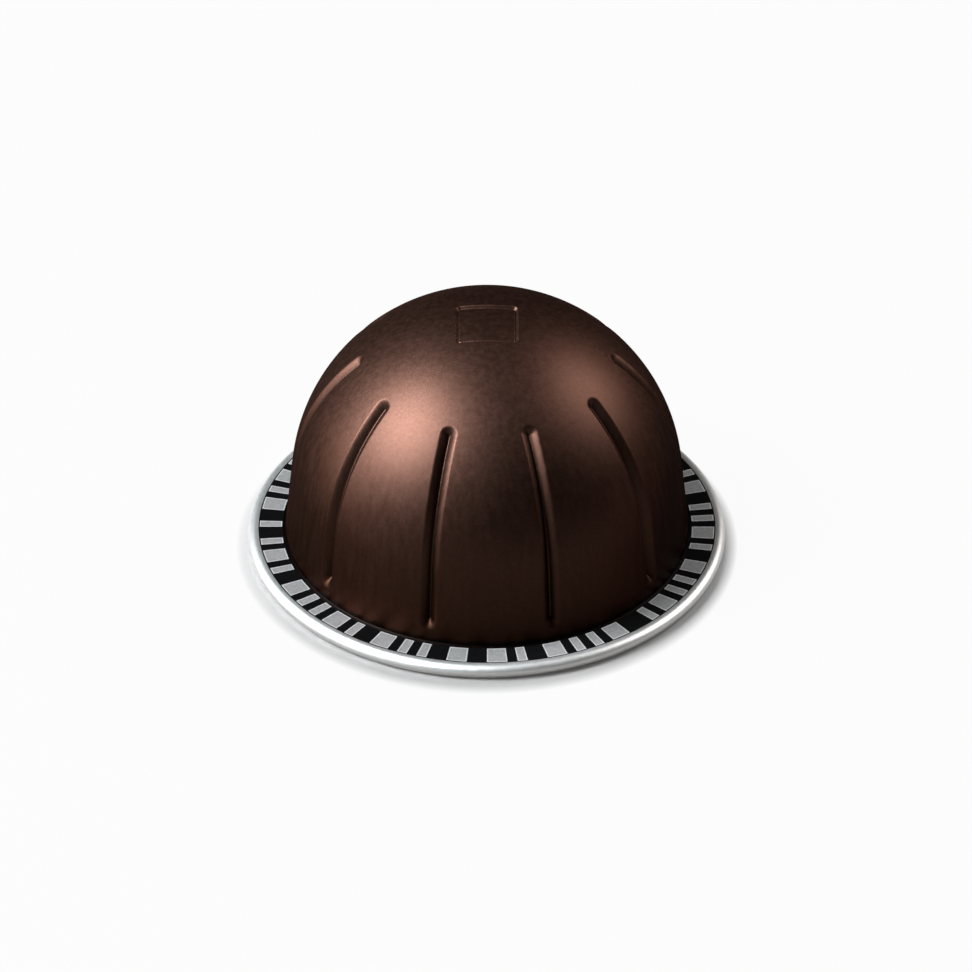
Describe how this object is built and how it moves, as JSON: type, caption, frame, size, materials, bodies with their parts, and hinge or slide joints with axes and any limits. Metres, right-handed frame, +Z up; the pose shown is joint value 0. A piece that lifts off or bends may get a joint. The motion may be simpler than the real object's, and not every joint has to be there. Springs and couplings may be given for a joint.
{
  "type": "coffee pod",
  "caption": "Sealed domed aluminium coffee pod with pressed flutes, a small square panel on its crown, a flat flange with a rolled rim, and a foil lid underneath.",
  "frame": {"origin": "centre of the rolled rim's foot, on the surface the pod rests on", "axes": "+Z up along the dome's axis, -Y towards the viewer of the picture, X along the panel's lower edge"},
  "size_m": [0.061, 0.061, 0.034],
  "materials": {
    "brown_lacquer": "satin brown metallic lacquer",
    "bare_rim": "bare satin aluminium",
    "black_print": "matte black ink",
    "lid_foil": "bright rolled foil"
  },
  "bodies": {
    "root": {"capsule_body": "brown_lacquer", "foil_lid": "lid_foil"}
  },
  "joints": []
}
